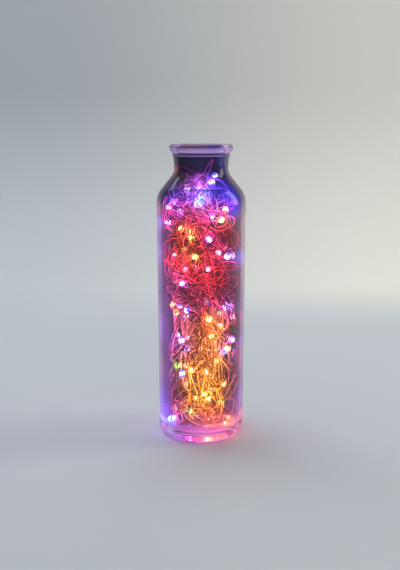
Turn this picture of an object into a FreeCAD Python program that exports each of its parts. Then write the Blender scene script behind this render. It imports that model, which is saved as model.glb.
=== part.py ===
"""A glass bottle lit from inside by a tangled copper wire with light drops on it.

Millimetres, +Z up. The bottle stands on z = 0 with its axis on the Z axis, and its front faces -Y.
The wire is fed by a small cork-shaped cell holder that stands behind the tangle, inside the bottle.
"""

import math
import os

import FreeCAD
import Part
from FreeCAD import Vector

# Bottle
bottle_height = 254.3
body_radius = 38.0
glass_wall = 3.0
shoulder_width = 15.06
shoulder_rise = 29.8
shoulder_arc = 20.0
neck_arc = 12.0
neck_depth = 19.5
flare_arc = 46.0
lip_overhang = 4.06
lip_bead_radius = 3.3
lip_depth = 6.9
lip_underside_deg = -47.0
lip_inner_round = 2.3
mouth_step = 0.56
mouth_land = 10.0
heel_radius = 6.6
base_thickness = 10.1
inner_heel_radius = 6.0
stand_ring_inset = 14.0
push_up = 2.0
push_up_flank = 2.5
round_chord = 3.5
round_step = math.radians(46)

# Wire: two lacquered copper strands side by side, here as one flat tube
wire_width = 0.6
wire_thickness = 0.4
wire_gap = 0.45
wall_gap = 0.5
bend_radius = 8.0
bend_share = 0.45
bend_sag = 3.0
sharpest_turn = math.radians(140)
sample_step = 0.7
lead_straight = 6.0
steps_most = 3000

# Light drops: clear resin round a small chip
drop_radius = 1.5
drop_length = 4.6
drop_end_share = 0.45
drop_sides = 4
drop_gap = 0.3
chip_length = 1.6
chip_width = 0.8
chip_thickness = 0.5
chip_gap = 0.05

# Cell holder in the shape of a bottle cork
holder_across_share = 0.08
holder_wall_gap = 0.8
holder_bottom = 46.0
holder_wall = 3.2
nose_thickness = 4.0
nose_chamfer = 0.6
cell_radius = 5.8
cell_height = 5.4
cell_count = 3
cell_clearance = 0.15
tray_wall = 0.8
tray_floor = 0.8
tray_clearance = 0.25
tray_seat_gap = 0.1
tray_travel = 18.0
flange_thickness = 1.2
cap_height = 7.5
cap_wall = 1.3
grip_count = 12
grip_depth = 0.5
leaf_height = 1.5
leaf_width = 3.0
leaf_thickness = 0.3
plate_thickness = 0.4
plate_length = 7.0
plate_width = 5.0
board_thickness = 1.0
board_clearance = 0.2
controller_size = 3.0
controller_height = 1.0
controller_offset = 4.0
switch_length = 7.0
switch_width = 3.4
switch_wall = 0.6
slider_length = 2.4
slider_width = 1.6
slider_stand = 1.4
slider_clearance = 0.15
switch_travel = 2.0
nose_strip_thickness = 0.3
nose_strip_length = 10.0
nose_strip_width = 3.0
grommet_radius = 1.8
grommet_flange_radius = 2.6
grommet_flange_thickness = 0.6
grommet_slit = 0.9
overrun = 1.0

# Where each light drop hangs, by its colour: across and back as shares of the inner radius,
# and up as a share that is shoulder_share where the body ends and waist_share at the neck.
drop_place_shares = {
    "yellow": [
        (-0.41, -0.36, 0.857), (0.64, -0.39, 0.792), (0.47, -0.59, 0.772),
        (-0.47, -0.55, 0.732), (-0.24, -0.35, 0.715), (-0.17, -0.76, 0.634), (-0.61, -0.07, 0.544),
        (-0.80, 0.15, 0.459), (-0.68, -0.24, 0.441), (0.21, -0.76, 0.435),
        (0.47, -0.16, 0.427), (0.47, -0.47, 0.396), (0.23, -0.71, 0.362), (0.02, -0.46, 0.307),
        (0.21, -0.09, 0.287), (0.71, -0.12, 0.299), (0.39, -0.66, 0.273), (-0.36, -0.25, 0.246),
        (-0.23, -0.71, 0.251), (-0.11, 0.00, 0.223), (0.11, -0.68, 0.231), (0.25, -0.26, 0.208),
        (-0.32, -0.52, 0.196), (0.60, -0.21, 0.181), (0.10, -0.73, 0.165), (0.23, -0.18, 0.150),
        (-0.13, -0.54, 0.133), (0.20, -0.45, 0.131), (0.75, -0.20, 0.050), (0.12, -0.44, 0.047),
        (0.62, -0.54, 0.046),
    ],
    "blue": [
        (0.33, -0.09, 0.896), (-0.64, -0.20, 0.819), (0.23, -0.71, 0.764),
        (0.80, 0.13, 0.626), (-0.47, -0.47, 0.544), (-0.35, -0.59, 0.457),
        (-0.38, -0.25, 0.423), (-0.54, 0.07, 0.447), (0.63, -0.27, 0.475), (0.60, -0.52, 0.451),
        (0.79, 0.09, 0.450), (-0.35, 0.00, 0.338), (0.55, -0.52, 0.299), (-0.48, -0.55, 0.232),
    ],
    "violet": [
        (0.31, -0.34, 0.880), (-0.58, 0.10, 0.776), (-0.79, -0.27, 0.747), (0.21, -0.71, 0.691),
        (0.68, -0.31, 0.630), (0.12, 0.18, 0.458), (-0.59, -0.28, 0.357),
        (-0.47, -0.63, 0.353), (-0.39, -0.25, 0.319), (0.75, -0.26, 0.341), (-0.67, -0.32, 0.056),
        (-0.31, -0.09, 0.077),
    ],
    "pink": [
        (-0.08, -0.58, 0.862), (-0.79, -0.23, 0.795), (0.63, 0.20, 0.649), (-0.69, -0.30, 0.645),
        (0.48, -0.47, 0.644), (-0.75, -0.21, 0.593), (-0.16, 0.09, 0.588),
        (0.17, -0.54, 0.592), (-0.39, -0.58, 0.583), (0.78, -0.20, 0.422), (-0.71, -0.06, 0.087),
    ],
    "green": [
        (0.43, -0.16, 0.785), (-0.25, -0.53, 0.695), (-0.44, 0.12, 0.651), (0.17, 0.09, 0.430),
        (-0.66, -0.26, 0.254), (0.54, -0.44, 0.116), (-0.28, -0.61, 0.085),
    ],
    "cyan": [
        (0.00, -0.73, 0.832), (-0.06, -0.55, 0.814), (0.10, -0.49, 0.847), (0.19, 0.06, 0.819),
        (-0.82, -0.30, 0.046),
    ],
}
# The top of the wire's loop that stands up in the neck, in the same shares.
neck_loop_shares = (0.26, -0.34, 0.945)
shoulder_share = 0.8061
waist_share = 0.9233
# The wire's way up the bottle: how much a rise counts beside a turn, and the most it may be.
rise_weight = 6.0
rise_most = 0.2

# Worked out from the sizes above
waist_height = bottle_height - neck_depth
body_height = waist_height - shoulder_rise
lip_underside_height = bottle_height - lip_depth
inner_radius = body_radius - glass_wall
waist_radius = body_radius - shoulder_width
throat_radius = waist_radius - glass_wall
mouth_radius = throat_radius + mouth_step
lip_radius = waist_radius + lip_overhang
stand_ring_radius = body_radius - stand_ring_inset
push_up_radius = stand_ring_radius - push_up_flank
inner_neck_arc = neck_arc + glass_wall
shoulder_centre = Vector(body_radius - shoulder_arc, 0, body_height)
neck_centre = Vector(waist_radius + neck_arc, 0, waist_height)
bead_centre = Vector(lip_radius - lip_bead_radius, 0, bottle_height - lip_bead_radius)
centre_gap = math.hypot(wire_width, wire_thickness) + wire_gap
stack_height = cell_count * cell_height
tray_bore_radius = cell_radius + cell_clearance
tray_radius = tray_bore_radius + tray_wall
shell_bore_radius = tray_radius + tray_clearance
holder_shell_radius = shell_bore_radius + holder_wall
holder_radius = holder_shell_radius + grip_depth
holder_x = holder_across_share * inner_radius
holder_y = math.sqrt((inner_radius - holder_wall_gap - holder_radius) ** 2 - holder_x**2)
nose_top = holder_bottom + nose_thickness
tray_bottom = nose_top + nose_strip_thickness + tray_seat_gap
cells_bottom = tray_bottom + tray_floor + leaf_height
cells_top = cells_bottom + stack_height
board_bottom = cells_top + plate_thickness
flange_bottom = board_bottom - flange_thickness
shell_top = flange_bottom - tray_seat_gap
cap_bottom = board_bottom
cap_top = cap_bottom + cap_height
holder_clear_top = cap_top + slider_stand + tray_travel + overrun


def on_circle(centre, radius, angle):
    """The point of a circle in the XZ plane at an angle above +X."""
    return centre + Vector(math.cos(angle), 0, math.sin(angle)) * radius


def round_points(centre, radius, start, end):
    """Points along a round stretch in the XZ plane, from one angle to another."""
    steps = math.ceil(max(abs(end - start) / round_step, abs(end - start) * radius / round_chord))
    return [on_circle(centre, radius, start + (end - start) * i / steps) for i in range(steps + 1)]


def shoulder_normal_angle():
    """The angle of the normal of the straight flank that touches both shoulder arcs."""
    between = neck_centre - shoulder_centre
    lean = math.acos((shoulder_arc + neck_arc) / between.Length)
    return math.atan2(between.z, between.x) - lean


def inner_radius_at(height):
    """The clear radius inside the bottle at a height above its floor."""
    normal = shoulder_normal_angle()
    arc_end = on_circle(shoulder_centre, shoulder_arc - glass_wall, normal)
    flank_end = on_circle(neck_centre, -inner_neck_arc, normal)
    if height <= body_height:
        low = max(0.0, base_thickness + inner_heel_radius - height)
        return inner_radius - inner_heel_radius + math.sqrt(max(0.0, inner_heel_radius**2 - low**2))
    if height <= arc_end.z:
        rise = height - body_height
        return shoulder_centre.x + math.sqrt((shoulder_arc - glass_wall) ** 2 - rise**2)
    if height <= flank_end.z:
        share = (height - arc_end.z) / (flank_end.z - arc_end.z)
        return arc_end.x + share * (flank_end.x - arc_end.x)
    rise = min(0.0, height - waist_height)
    return neck_centre.x - math.sqrt(inner_neck_arc**2 - rise**2)


def bottle():
    """The blown glass bottle: one closed outline turned about the axis."""
    normal = shoulder_normal_angle()
    half_turn = math.pi
    inner_shoulder_arc = shoulder_arc - glass_wall
    heel_centre = Vector(body_radius - heel_radius, 0, heel_radius)
    floor_centre = Vector(inner_radius - inner_heel_radius, 0, base_thickness + inner_heel_radius)
    flare_centre = Vector(waist_radius + flare_arc, 0, waist_height)
    flare_end_angle = half_turn - math.asin((lip_underside_height - waist_height) / flare_arc)
    bead_start_angle = math.radians(lip_underside_deg)
    round_centre = Vector(mouth_radius + lip_inner_round, 0, bottle_height - lip_inner_round)
    outline = [
        Vector(0, 0, push_up),
        Vector(push_up_radius, 0, push_up),
        Vector(stand_ring_radius, 0, 0),
        *round_points(heel_centre, heel_radius, -half_turn / 2, 0),
        *round_points(shoulder_centre, shoulder_arc, 0, normal),
        *round_points(neck_centre, neck_arc, half_turn + normal, half_turn),
        *round_points(flare_centre, flare_arc, half_turn, flare_end_angle)[1:],
        *round_points(bead_centre, lip_bead_radius, bead_start_angle, half_turn / 2),
        *round_points(round_centre, lip_inner_round, half_turn / 2, half_turn),
        Vector(mouth_radius, 0, round_centre.z - mouth_land),
        Vector(throat_radius, 0, round_centre.z - mouth_land),
        *round_points(neck_centre, inner_neck_arc, half_turn, half_turn + normal),
        *round_points(shoulder_centre, inner_shoulder_arc, normal, 0),
        *round_points(floor_centre, inner_heel_radius, 0, -half_turn / 2),
        Vector(0, 0, base_thickness),
        Vector(0, 0, push_up),
    ]
    return Part.Face(Part.makePolygon(outline)).revolve(Vector(0, 0, 0), Vector(0, 0, 1), 360)


def bend(before, corner, after):
    """The arc that rounds a corner of the wire's way: its first point, the corner, its last point."""
    back = before - corner
    on = after - corner
    half = (math.pi - back.getAngle(on)) / 2
    radius = min(bend_radius, bend_sag / (1 / math.cos(half) - 1))
    reach = min(radius * math.tan(half), bend_share * min(back.Length, on.Length))
    return (corner + unit(back) * reach, corner, corner + unit(on) * reach)


def half_angle(arc):
    """Half the angle that an arc turns through."""
    start, corner, end = arc
    return (corner - start).getAngle(end - start)


def arc_radius(arc):
    start, corner, end = arc
    return (end - start).Length / 2 / math.sin(half_angle(arc))


def arc_point(arc, share):
    """The point at a share of the way along an arc."""
    start, corner, end = arc
    half = half_angle(arc)
    middle = (start + end) / 2
    inward = middle - corner
    inward.normalize()
    centre = middle + inward * (arc_radius(arc) * math.cos(half))
    along = end - start
    along.normalize()
    turn = half * (2 * share - 1)
    return centre + (along * math.sin(turn) - inward * math.cos(turn)) * arc_radius(arc)


def arc_length(arc):
    return 2 * half_angle(arc) * arc_radius(arc)


def run_samples(start, end):
    count = max(1, math.ceil(start.distanceToPoint(end) / sample_step))
    return [start + (end - start) * (i / count) for i in range(count)]


def arc_samples(arc):
    count = max(3, math.ceil(arc_length(arc) / sample_step))
    return [arc_point(arc, i / count) for i in range(count)]


def way_samples(start, arcs, end):
    """Points along runs and bends, from a start to an end."""
    points = []
    here = start
    for arc in arcs:
        points += run_samples(here, arc[0]) + arc_samples(arc)
        here = arc[-1]
    return points + run_samples(here, end)


class Room:
    """The space that the wire has taken, as points in a grid of cells."""

    def __init__(self, cell):
        self.cell = cell
        self.cells = {}

    def key(self, point):
        return tuple(math.floor(c / self.cell) for c in point)

    def add(self, points):
        for p in points:
            self.cells.setdefault(self.key(p), []).append(p)

    def take_out(self, points):
        for p in points:
            self.cells[self.key(p)].remove(p)

    def nearest(self, point):
        """The distance to the nearest point, or the cell's size where none is nearer."""
        x, y, z = self.key(point)
        best = self.cell
        for i in (x - 1, x, x + 1):
            for j in (y - 1, y, y + 1):
                for k in (z - 1, z, z + 1):
                    for other in self.cells.get((i, j, k), ()):
                        best = min(best, point.distanceToPoint(other))
        return best


def unit(vector):
    size = vector.Length
    return vector / size if size else Vector(0, 0, 1)


def height_at(up):
    """The height that an up share stands for: first over the straight body, then over the shoulder."""
    if up < shoulder_share:
        return body_height * up / shoulder_share
    return body_height + shoulder_rise * (up - shoulder_share) / (waist_share - shoulder_share)


def place(shares):
    across, back, up = shares
    return Vector(across * inner_radius, back * inner_radius, height_at(up))


def in_holder_way(point, margin):
    """Whether a point is in the space of the cell holder and of its tray's travel."""
    aside = math.hypot(point.x - holder_x, point.y - holder_y)
    low = holder_bottom - lead_straight
    return aside < holder_radius + margin and low < point.z < holder_clear_top


def inside_bottle(point):
    floor = base_thickness + wall_gap + wire_width
    clear = inner_radius_at(point.z) - wall_gap - wire_width
    return point.z > floor and math.hypot(point.x, point.y) < clear


def clear_run(start, end, room, places):
    """Whether a straight run from drop to drop touches nothing on its way."""
    points = run_samples(start, end)
    margin = wall_gap + wire_width
    if any(not inside_bottle(p) or in_holder_way(p, margin) for p in points):
        return False
    drop_reach = drop_length / 2 + wire_width / 2 + drop_gap
    for other in places:
        if other not in (start, end) and min(p.distanceToPoint(other) for p in points) < drop_reach:
            return False
    return min(room.nearest(p) for p in points) > centre_gap


def next_drops(corners, left, room, places):
    """The drops that the wire can run on to, the best of them at the end.

    The wire bends as little as it can from each drop to the next, and leaves none far below it.
    """
    before, here = corners[-2:]
    floor = min(shares[-1] for _, shares in left)
    choices = []
    for drop in left:
        there = place(drop[1])
        turn = (here - before).getAngle(there - here)
        rise = drop[1][-1] - floor
        if turn < sharpest_turn and rise < rise_most:
            choices.append((turn + rise * rise_weight, drop))
    choices.sort(reverse=True)
    return [drop for _, drop in choices if clear_run(here, place(drop[1]), room, places)]


def strung_order(corners):
    """The drops in the order in which the wire takes them, with steps back from dead ends."""
    left = [(colour, shares) for colour, rows in drop_place_shares.items() for shares in rows]
    ending = [("pink", drop_place_shares["pink"][0]), ("blue", drop_place_shares["blue"][0])]
    places = [place(shares) for _, shares in left]
    left = [drop for drop in left if drop not in ending]
    corners = list(corners)
    room = Room(centre_gap * 1.2)
    order = []
    levels = []
    steps = 0
    while left:
        steps += 1
        if len(levels) == len(order):
            levels.append(next_drops(corners, left, room, places))
        if levels[-1]:
            drop = levels[-1].pop()
            left.remove(drop)
            order.append(drop)
            room.add(run_samples(*corners[-2:]))
            corners.append(place(drop[1]))
        elif order and steps < steps_most:
            levels.pop()
            left.append(order.pop())
            corners.pop()
            room.take_out(run_samples(*corners[-2:]))
        else:
            raise RuntimeError(f"no clear way for the wire, {len(left)} drops left")
    print(f"{len(order)} drops strung in {steps} steps")
    return [*order, ending[0], ("none", neck_loop_shares), ending[-1]]


def least_gap(points):
    """The least distance between the surfaces of stretches that aren't neighbours."""
    apart = math.ceil(3 * centre_gap / sample_step)
    room = Room(centre_gap * 2)
    least = room.cell
    for i, point in enumerate(points):
        if i >= apart:
            room.add([points[i - apart]])
        least = min(least, room.nearest(point))
    return least - math.hypot(wire_width, wire_thickness)


def arc_shape(arc):
    start, _, end = arc
    return Part.Arc(start, arc_point(arc, 0.5), end).toShape()


def across(way):
    """Two directions square to a direction and to each other."""
    side = unit(way.cross(Vector(0, 0, 1) if abs(way.z) < 0.9 else Vector(1, 0, 0)))
    return side, way.cross(side)


def flat_section(centre, way):
    """The wire's flat outline across a direction."""
    side, up = across(way)
    corners = [
        centre + side * (a * wire_width / 2) + up * (b * wire_thickness / 2)
        for a, b in ((1, 1), (-1, 1), (-1, -1), (1, -1), (1, 1))
    ]
    return Part.makePolygon(corners)


def wire_tube(start, arcs, end):
    """One unbroken tube along runs and bends, from a start to an end."""
    edges = []
    here = start
    for arc in arcs:
        edges += [Part.makeLine(here, arc[0]), arc_shape(arc)]
        here = arc[-1]
    edges.append(Part.makeLine(here, end))
    spine = Part.Wire(edges)
    section = flat_section(start, unit(arcs[0][0] - start))
    tube = spine.makePipeShell([section], True, False)
    loops = sum(2 * half_angle(arc) for arc in arcs) / (2 * math.pi)
    tightest = min(arc_radius(arc) for arc in arcs)
    share = tube.Volume / (wire_width * wire_thickness * spine.Length)
    print(f"{loops:.1f} loops, {spine.Length:.0f} long, tightest radius {tightest:.1f}")
    print(f"volume over section times length {share:.3f}")
    return tube


def drop(centre, way):
    """A light drop: a clear bead that tapers towards both ends of its wire."""
    side, up = across(way)
    rings = []
    for along, radius in (
        (-drop_length / 2, drop_radius * drop_end_share),
        (0, drop_radius),
        (drop_length / 2, drop_radius * drop_end_share),
    ):
        angles = [2 * math.pi * i / drop_sides for i in range(drop_sides + 1)]
        corners = [
            centre + way * along + side * (radius * math.cos(a)) + up * (radius * math.sin(a))
            for a in angles
        ]
        rings.append(corners)
    faces = [Part.Face(Part.makePolygon(ring)) for ring in (rings[0], rings[-1])]
    for low, high in zip(rings, rings[1:]):
        for i in range(drop_sides):
            corners = [low[i], low[i + 1], high[i + 1], high[i], low[i]]
            faces.append(Part.Face(Part.makePolygon(corners)))
    return Part.makeSolid(Part.makeShell(faces))


def chip(centre, way):
    """The light chip that sits on the wire, inside its drop."""
    side, up = across(way)
    foot = centre + up * (wire_width / 2 + chip_gap)
    corners = [
        foot + way * (a * chip_length / 2) + side * (b * chip_width / 2)
        for a, b in ((1, 1), (-1, 1), (-1, -1), (1, -1), (1, 1))
    ]
    return Part.Face(Part.makePolygon(corners)).extrude(up * chip_thickness)


def at_holder(radius, height, bottom):
    return Part.makeCylinder(radius, height, Vector(holder_x, holder_y, bottom))


def box_at_holder(length, width, height, bottom, shift=0.0):
    corner = Vector(holder_x - length / 2 + shift, holder_y - width / 2, bottom)
    return Part.makeBox(length, width, height, corner)


def holder_shell():
    """The cork-shaped shell with the tray's bore and the lead's hole."""
    height = shell_top - holder_bottom
    body = at_holder(holder_shell_radius, height, holder_bottom)
    lowest = min(body.Edges, key=lambda edge: edge.BoundBox.ZMax)
    body = body.makeChamfer(nose_chamfer, [lowest])
    bore = at_holder(shell_bore_radius, height, nose_top)
    lead_hole = at_holder(grommet_radius, nose_thickness + 2 * overrun, holder_bottom - overrun)
    return body.cut(bore).cut(lead_hole)


def lead_grommet():
    """The rubber bush that the wire leaves the holder through."""
    tube = at_holder(grommet_radius, nose_thickness, holder_bottom)
    flange_bottom_height = holder_bottom - grommet_flange_thickness
    flange = at_holder(grommet_flange_radius, grommet_flange_thickness, flange_bottom_height)
    height = nose_thickness + grommet_flange_thickness + 2 * overrun
    slit = box_at_holder(grommet_slit, grommet_slit, height, flange_bottom_height - overrun)
    return tube.fuse(flange).cut(slit).removeSplitter()


def nose_strip():
    """The contact strip at the bottom of the shell's bore, pierced for the wire."""
    strip = box_at_holder(nose_strip_length, nose_strip_width, nose_strip_thickness, nose_top)
    hole = box_at_holder(grommet_slit, grommet_slit, nose_strip_thickness, nose_top)
    return strip.cut(hole)


def battery_tray():
    """The cradle that carries the cells, with a flange that closes the shell."""
    sleeve = at_holder(tray_radius, flange_bottom - tray_bottom, tray_bottom)
    flange = at_holder(holder_shell_radius, flange_thickness, flange_bottom)
    bore_bottom = tray_bottom + tray_floor
    bore = at_holder(tray_bore_radius, board_bottom - bore_bottom + overrun, bore_bottom)
    window_height = flange_bottom - bore_bottom
    corner = Vector(holder_x - tray_radius, holder_y - tray_radius - overrun, bore_bottom)
    window = Part.makeBox(2 * tray_radius, tray_radius + overrun, window_height, corner)
    return sleeve.fuse(flange).cut(bore).cut(window).removeSplitter()


def tray_cap():
    """The grip cap over the tray's flange, with the switch's slot in its top."""
    body = at_holder(holder_radius, cap_height, cap_bottom)
    body = body.cut(at_holder(holder_shell_radius - cap_wall, cap_height - cap_wall, cap_bottom))
    slot_length = slider_length + switch_travel + 2 * slider_clearance
    slot_width = slider_width + 2 * slider_clearance
    slot = box_at_holder(slot_length, slot_width, cap_wall + 2 * overrun, cap_top - cap_wall - overrun)
    grooves = []
    for i in range(grip_count):
        angle = 2 * math.pi * i / grip_count
        reach = holder_radius
        centre = Vector(holder_x + reach * math.cos(angle), holder_y + reach * math.sin(angle), 0)
        groove = Part.makeBox(2 * grip_depth, 2 * grip_depth, cap_height + 2 * overrun)
        groove.translate(Vector(-grip_depth, -grip_depth, cap_bottom - overrun))
        groove.rotate(Vector(0, 0, 0), Vector(0, 0, 1), math.degrees(angle) + 45)
        groove.translate(centre)
        grooves.append(groove)
    return body.cut(slot).cut(Part.makeCompound(grooves))


def button_cells():
    """The stack of button cells."""
    bottoms = [cells_bottom + i * cell_height for i in range(cell_count)]
    return Part.makeCompound([at_holder(cell_radius, cell_height, bottom) for bottom in bottoms])


def contact_leaf():
    """The bent spring leaf between the tray's floor and the lowest cell."""
    floor = tray_bottom + tray_floor
    half = tray_bore_radius - 2 * cell_clearance
    outline = [
        Vector(holder_x - half, 0, floor),
        Vector(holder_x + half, 0, floor),
        Vector(holder_x + half, 0, floor + leaf_thickness),
        Vector(holder_x, 0, floor + leaf_thickness),
        Vector(holder_x + half / 2, 0, cells_bottom - leaf_thickness),
        Vector(holder_x + half / 2, 0, cells_bottom),
        Vector(holder_x - half, 0, floor + leaf_thickness),
        Vector(holder_x - half, 0, floor),
    ]
    face = Part.Face(Part.makePolygon(outline))
    face.translate(Vector(0, holder_y - leaf_width / 2, 0))
    return face.extrude(Vector(0, leaf_width, 0))


def contact_plate():
    return box_at_holder(plate_length, plate_width, plate_thickness, cells_top)


def circuit_board():
    return at_holder(holder_shell_radius - cap_wall - board_clearance, board_thickness, board_bottom)


def controller_chip():
    """The small driver that sets the lights' pattern, beside the switch on the board."""
    top = board_bottom + board_thickness
    chip_body = box_at_holder(controller_size, controller_size, controller_height, top)
    chip_body.translate(Vector(0, controller_offset, 0))
    return chip_body


def switch_housing():
    """The open-topped frame of the slide switch between the board and the cap."""
    bottom = board_bottom + board_thickness
    height = cap_top - cap_wall - bottom
    frame = box_at_holder(switch_length, switch_width, height, bottom)
    inside_length = switch_length - 2 * switch_wall
    inside_width = switch_width - 2 * switch_wall
    return frame.cut(box_at_holder(inside_length, inside_width, height, bottom + switch_wall))


def switch_slider():
    """The slide button: at rest it stands at the off end of its slot."""
    bottom = board_bottom + board_thickness + switch_wall + slider_clearance
    height = cap_top + slider_stand - bottom
    return box_at_holder(slider_length, slider_width, height, bottom, -switch_travel / 2)


def main():
    os.makedirs("parts", exist_ok=True)
    inside = Vector(holder_x, holder_y, nose_top)
    turning = Vector(holder_x, holder_y, holder_bottom - lead_straight)
    order = strung_order([inside, turning])
    corners = [inside, turning, *(place(shares) for _, shares in order)]
    arcs = [bend(a, b, c) for a, b, c in zip(corners, corners[1:], corners[2:])]
    points = way_samples(inside, arcs, corners[-1])
    print(f"least gap of the wire to itself {least_gap(points):.2f}")
    middles = [arc_point(arc, 0.5) for arc in arcs]
    ways = [unit(arc[-1] - arc[0]) for arc in arcs]
    ends = [*middles[1:], corners[-1]]
    end_ways = [*ways[1:], unit(corners[-1] - corners[-2])]
    stops = [(colour, p, w) for (colour, _), p, w in zip(order, ends, end_ways) if colour != "none"]
    nearest = min(a.distanceToPoint(b) for i, (_, a, _) in enumerate(stops) for _, b, _ in stops[:i])
    print(f"least distance between drops' middles {nearest:.1f}")
    # The lead ends half way to the second drop, and the loop starts half way to its top.
    lead_end = (corners[2] + corners[3]) / 2
    loop_start = (corners[-3] + corners[-2]) / 2
    shapes = {
        "glass_bottle": bottle(),
        "lead_wire": wire_tube(inside, arcs[:2], lead_end),
        "wire_winding": wire_tube(lead_end, arcs[2:-1], loop_start),
        "neck_wire_loop": wire_tube(loop_start, arcs[-1:], corners[-1]),
        "led_chips": Part.makeCompound([chip(p, w) for _, p, w in stops]),
        "holder_shell": holder_shell(),
        "lead_grommet": lead_grommet(),
        "nose_strip": nose_strip(),
        "battery_tray": battery_tray(),
        "tray_cap": tray_cap(),
        "button_cells": button_cells(),
        "contact_leaf": contact_leaf(),
        "contact_plate": contact_plate(),
        "circuit_board": circuit_board(),
        "controller_chip": controller_chip(),
        "switch_housing": switch_housing(),
        "switch_slider": switch_slider(),
    }
    for colour in drop_place_shares:
        drops = [drop(p, w) for c, p, w in stops if c == colour]
        shapes[f"{colour}_light_drops"] = Part.makeCompound(drops)
    for name, shape in shapes.items():
        print(f"{name}: {len(shape.Solids)} solids, valid {shape.isValid()}, {shape.Volume:.1f}")
        shape.exportStep(f"parts/{name}.step")


main()
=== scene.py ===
"""The bottle light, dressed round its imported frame. Metres, +Z up, the front faces -Y."""

import math
import random

import bmesh
import bpy
import numpy as np
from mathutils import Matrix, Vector


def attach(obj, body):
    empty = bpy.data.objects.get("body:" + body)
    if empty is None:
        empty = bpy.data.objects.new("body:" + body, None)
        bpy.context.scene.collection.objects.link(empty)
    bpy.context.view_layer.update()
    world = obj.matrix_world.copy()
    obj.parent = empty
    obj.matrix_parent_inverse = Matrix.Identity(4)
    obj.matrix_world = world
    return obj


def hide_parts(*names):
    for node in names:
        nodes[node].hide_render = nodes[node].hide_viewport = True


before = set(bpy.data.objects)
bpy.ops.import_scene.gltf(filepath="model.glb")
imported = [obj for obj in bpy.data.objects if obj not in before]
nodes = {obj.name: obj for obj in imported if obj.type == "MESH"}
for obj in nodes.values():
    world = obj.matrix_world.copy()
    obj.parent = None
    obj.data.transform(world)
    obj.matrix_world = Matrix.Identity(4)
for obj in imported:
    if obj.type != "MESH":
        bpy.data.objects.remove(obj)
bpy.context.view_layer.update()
mm = 0.001

# Bottle
bottle_height = 254.3 * mm
body_radius = 38.0 * mm
body_height = 205.0 * mm
wall = 3.0 * mm
waist_radius = 22.94 * mm
waist_height = 234.8 * mm
shoulder_arc = 20.0 * mm
neck_arc = 12.0 * mm
inner_radius = body_radius - wall
base_thickness = 10.1 * mm
neck_fade = (190 * mm, 222 * mm)  # where the body's look turns into the neck's

# Drops: their size, and each colour's rim, middle and power
drop_radius = 2.2 * mm
drop_half = 2.9 * mm
drop_lights = {
    "yellow": ((1.0, 0.66, 0.05), (1.0, 1.0, 0.42), 8.0),
    "blue": ((0.16, 0.22, 1.0), (0.70, 0.86, 1.0), 9.0),
    "violet": ((0.34, 0.16, 1.0), (0.92, 0.90, 1.0), 9.0),
    "pink": ((1.0, 0.16, 0.34), (1.0, 0.80, 0.80), 8.0),
    "green": ((0.16, 1.0, 0.06), (0.60, 1.0, 0.26), 6.0),
    "cyan": ((0.08, 0.72, 1.0), (0.50, 1.0, 1.0), 8.0),
}
drop_sizes = {"cyan": 1.35, "yellow": 1.12, "violet": 1.18, "blue": 1.15}

# Wire
wire_diameter = 0.6 * mm
wire_sides = 5
strand_diameter = 0.42 * mm
strand_sides = 4
bow_sides = 6
drop_lead = 3.4 * mm
least_step = 1.3 * mm
ways_tried = 10
coarse_legs, fine_legs, bow_legs = 3, 4, 7  # points per leg of a smooth line

# The room that the tangle keeps to: wider and fuller above its middle
wall_gap = 0.7 * mm
floor_gap = 1.4 * mm
holder_gap = 1.2 * mm
tangle_middle = 128 * mm
tangle_top = 238 * mm
lower_across = (4.0 * mm, 26.5 * mm)  # the middle and the half width along X
upper_across = (0.0, 29.5 * mm)
foot_top = 36 * mm
foot_back = 20 * mm
tangle_back = 9.0 * mm

# Cell holder
holder_x = 2.8 * mm
holder_y = 23.34 * mm
holder_radius = 10.7 * mm
holder_low = 40.0 * mm
holder_high = 104.0 * mm
wire_exit = 45.6 * mm

rng = random.Random(78)


def placed(name, data):
    """An object in the scene that shows a mesh, a light or a camera."""
    made = bpy.data.objects.new(name, data)
    bpy.context.collection.objects.link(made)
    return made


# Materials

def material(name):
    made = bpy.data.materials.new(name)
    made.use_nodes = True
    tree = made.node_tree
    tree.nodes.clear()
    return made, tree


def link(tree, source, target):
    tree.links.new(source, target)


def feed(tree, value, socket):
    """Gives a socket another node's output, a colour or a number."""
    if isinstance(value, tuple):
        socket.default_value = (*value, 1)
    elif isinstance(value, (int, float)):
        socket.default_value = value
    else:
        link(tree, value, socket)


def principled(tree, **values):
    """The shader and the material's output. An underscore in a name stands for a space."""
    shader = tree.nodes.new("ShaderNodeBsdfPrincipled")
    for key, value in values.items():
        feed(tree, value, shader.inputs[key.replace("_", " ")])
    out = tree.nodes.new("ShaderNodeOutputMaterial")
    link(tree, shader.outputs[0], out.inputs["Surface"])
    return shader, out


def ramp(tree, fac, stops):
    made = tree.nodes.new("ShaderNodeValToRGB")
    elements = made.color_ramp.elements
    while len(elements) < len(stops):
        elements.new(0.5)
    for element, (at, color) in zip(elements, stops):
        element.position = at
        element.color = (*color, 1)
    link(tree, fac, made.inputs["Fac"])
    return made.outputs["Color"]


def own_place(tree):
    return tree.nodes.new("ShaderNodeTexCoord").outputs["Object"]


def axes(tree):
    split = tree.nodes.new("ShaderNodeSeparateXYZ")
    link(tree, own_place(tree), split.inputs[0])
    return split.outputs


def noise(tree, scale, detail=3, rough=0.55, stretch=None):
    source = own_place(tree)
    if stretch:
        moved = tree.nodes.new("ShaderNodeMapping")
        moved.inputs["Scale"].default_value = stretch
        link(tree, source, moved.inputs["Vector"])
        source = moved.outputs[0]
    made = tree.nodes.new("ShaderNodeTexNoise")
    made.inputs["Scale"].default_value = scale
    made.inputs["Detail"].default_value = detail
    made.inputs["Roughness"].default_value = rough
    link(tree, source, made.inputs["Vector"])
    return made.outputs["Fac"]


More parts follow.
